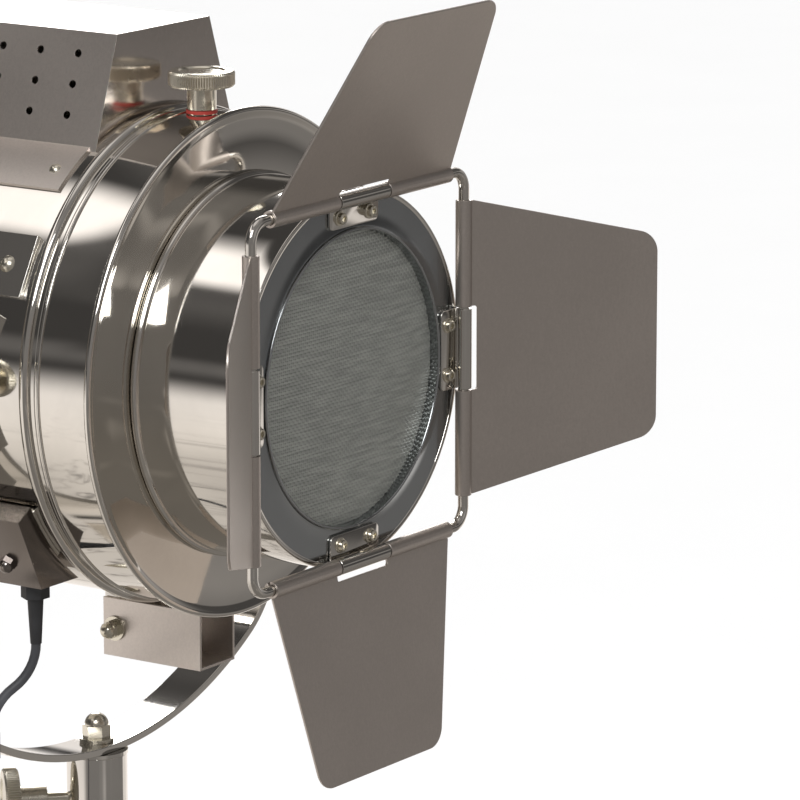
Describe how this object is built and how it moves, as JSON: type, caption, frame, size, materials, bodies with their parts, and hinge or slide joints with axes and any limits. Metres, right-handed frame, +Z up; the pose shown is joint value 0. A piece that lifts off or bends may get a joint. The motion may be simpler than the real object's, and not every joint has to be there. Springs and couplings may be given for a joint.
{
  "type": "tripod floor lamp",
  "caption": "Studio spotlight floor lamp: polished drum head with barn doors in a tilting yoke on a mast and a folding tripod.",
  "frame": {"origin": "centre of the footprint on the floor", "axes": "+Z up along the mast, the lamp shines towards -Y, +X to the right seen from the front"},
  "size_m": [0.7198, 0.627, 1.6404],
  "materials": {
    "polished_nickel": "mirror-polished nickel plate on spun and folded sheet steel",
    "warm_nickel": "warm polished nickel on turned and knurled fittings",
    "dark_wood": "dark stained hardwood, satin",
    "black_rubber": "matt black moulded rubber",
    "cord_sleeve": "charcoal flexible sleeve",
    "woven_mesh": "fine plain woven steel wire",
    "red_fibre": "red fibre washer",
    "white_ceramic": "glazed white ceramic",
    "bulb_glass": "pearl glass"
  },
  "bodies": {
    "stand": {"hub": "polished_nickel", "mast_tube": "polished_nickel", "leg_pins": "warm_nickel", "mast_clips": "black_rubber", "cord_lower": "cord_sleeve", "cord_coil": "cord_sleeve", "plug": "black_rubber"},
    "leg_1": {"leg_1_rails": "dark_wood", "leg_1_fittings": "polished_nickel"},
    "leg_1_lower": {"leg_1_slider": "dark_wood", "leg_1_foot": "black_rubber"},
    "leg_1_clamp": {"leg_1_knob": "warm_nickel"},
    "leg_2": {"leg_2_rails": "dark_wood", "leg_2_fittings": "polished_nickel"},
    "leg_2_lower": {"leg_2_slider": "dark_wood", "leg_2_foot": "black_rubber"},
    "leg_2_clamp": {"leg_2_knob": "warm_nickel"},
    "leg_3": {"leg_3_rails": "dark_wood", "leg_3_fittings": "polished_nickel"},
    "leg_3_lower": {"leg_3_slider": "dark_wood", "leg_3_foot": "black_rubber"},
    "leg_3_clamp": {"leg_3_knob": "warm_nickel"},
    "yoke": {"yoke": "polished_nickel", "yoke_spigot": "polished_nickel", "yoke_nut": "warm_nickel", "yoke_clip": "black_rubber", "cord_middle": "cord_sleeve"},
    "mast_clamp": {"mast_thumbscrew": "warm_nickel"},
    "tilt_clamp_left": {"tilt_knob_left": "warm_nickel"},
    "tilt_clamp_right": {"tilt_knob_right": "warm_nickel"},
    "head": {"drum": "polished_nickel", "rear_cap": "polished_nickel", "vent_housing": "polished_nickel", "vent_baffle": "polished_nickel", "case_screws": "warm_nickel", "trunnion_bracket_left": "polished_nickel", "trunnion_bracket_right": "polished_nickel", "bracket_bolts": "warm_nickel", "terminal_box": "polished_nickel", "cord_gland": "black_rubber", "hinge_bolt": "warm_nickel", "lampholder_bracket": "polished_nickel", "lampholder": "white_ceramic", "bulb": "bulb_glass", "switch_body": "black_rubber", "cord_upper": "cord_sleeve"},
    "switch": {"switch_lever": "warm_nickel"},
    "front": {"front_pan": "polished_nickel", "hinge_channel": "polished_nickel", "snoot": "polished_nickel", "mesh_screen": "woven_mesh", "hinge_brackets": "polished_nickel", "bracket_screws": "warm_nickel", "door_frame": "polished_nickel", "knob_washer": "red_fibre"},
    "front_knob": {"top_knob": "warm_nickel"},
    "barn_top": {"door_top": "polished_nickel"},
    "barn_right": {"door_right": "polished_nickel"},
    "barn_bottom": {"door_bottom": "polished_nickel"},
    "barn_left": {"door_left": "polished_nickel"}
  },
  "joints": [
    {"name": "leg_1_fold", "type": "hinge", "parent": "stand", "child": "leg_1", "pos_m": [0, 0.04461, 0.85], "axis": [-1, 0, 0], "range_deg": [-22, 0]},
    {"name": "leg_1_slide", "type": "slide", "parent": "leg_1", "child": "leg_1_lower", "axis": [0, -0.3746, -0.9272], "range_m": [-0.27, 0.1]},
    {"name": "leg_1_clamp_turn", "type": "hinge", "parent": "leg_1", "child": "leg_1_clamp", "pos_m": [0, -0.13558, 0.40403], "axis": [0, -0.9272, 0.3746], "range_deg": [0, 360]},
    {"name": "leg_2_fold", "type": "hinge", "parent": "stand", "child": "leg_2", "pos_m": [0.04763, 0.12711, 0.85], "axis": [0.5, -0.866, 0], "range_deg": [-22, 0]},
    {"name": "leg_2_slide", "type": "slide", "parent": "leg_2", "child": "leg_2_lower", "axis": [0.3244, 0.1873, -0.9272], "range_m": [-0.27, 0.1]},
    {"name": "leg_2_clamp_turn", "type": "hinge", "parent": "leg_2", "child": "leg_2_clamp", "pos_m": [0.20368, 0.2172, 0.40403], "axis": [0.803, 0.4636, 0.3746], "range_deg": [0, 360]},
    {"name": "leg_3_fold", "type": "hinge", "parent": "stand", "child": "leg_3", "pos_m": [-0.04763, 0.12711, 0.85], "axis": [0.5, 0.866, 0], "range_deg": [-22, 0]},
    {"name": "leg_3_slide", "type": "slide", "parent": "leg_3", "child": "leg_3_lower", "axis": [-0.3244, 0.1873, -0.9272], "range_m": [-0.27, 0.1]},
    {"name": "leg_3_clamp_turn", "type": "hinge", "parent": "leg_3", "child": "leg_3_clamp", "pos_m": [-0.20368, 0.2172, 0.40403], "axis": [-0.803, 0.4636, 0.3746], "range_deg": [0, 360]},
    {"name": "head_pan", "type": "hinge", "parent": "stand", "child": "yoke", "pos_m": [0, 0.09961, 1.2], "axis": [0, 0, 1], "range_deg": [-170, 170], "deforming": ["cord_middle"]},
    {"name": "mast_clamp_turn", "type": "hinge", "parent": "stand", "child": "mast_clamp", "pos_m": [0, 0.09961, 1.2049], "axis": [-0.7071, 0.7071, 0], "range_deg": [0, 360]},
    {"name": "head_tilt", "type": "hinge", "parent": "yoke", "child": "head", "pos_m": [0, 0.09961, 1.45], "axis": [1, 0, 0], "range_deg": [-50, 30], "deforming": ["cord_upper"]},
    {"name": "tilt_clamp_left_turn", "type": "hinge", "parent": "head", "child": "tilt_clamp_left", "pos_m": [-0.16, 0.09961, 1.45], "axis": [-1, 0, 0], "range_deg": [0, 360]},
    {"name": "tilt_clamp_right_turn", "type": "hinge", "parent": "head", "child": "tilt_clamp_right", "pos_m": [0.16, 0.09961, 1.45], "axis": [1, 0, 0], "range_deg": [0, 360]},
    {"name": "switch_flip", "type": "hinge", "parent": "head", "child": "switch", "pos_m": [0.045, 0.26261, 1.41], "axis": [1, 0, 0], "range_deg": [-24, 0]},
    {"name": "front_open", "type": "hinge", "parent": "head", "child": "front", "pos_m": [0, 0.07511, 1.303], "axis": [-1, 0, 0], "range_deg": [-60, 0]},
    {"name": "front_knob_turn", "type": "hinge", "parent": "front", "child": "front_knob", "pos_m": [0, 0.02761, 1.59], "axis": [0, 0, 1], "range_deg": [0, 360]},
    {"name": "barn_top_hinge", "type": "hinge", "parent": "front", "child": "barn_top", "pos_m": [0, -0.06989, 1.543], "axis": [-1, 0, 0], "range_deg": [-94, 26]},
    {"name": "barn_right_hinge", "type": "hinge", "parent": "front", "child": "barn_right", "pos_m": [0.093, -0.06989, 1.45], "axis": [0, 0, -1], "range_deg": [-35, 85]},
    {"name": "barn_bottom_hinge", "type": "hinge", "parent": "front", "child": "barn_bottom", "pos_m": [0, -0.06989, 1.357], "axis": [1, 0, 0], "range_deg": [-113, 7]},
    {"name": "barn_left_hinge", "type": "hinge", "parent": "front", "child": "barn_left", "pos_m": [-0.093, -0.06989, 1.45], "axis": [0, 0, 1], "range_deg": [-30, 90]}
  ]
}
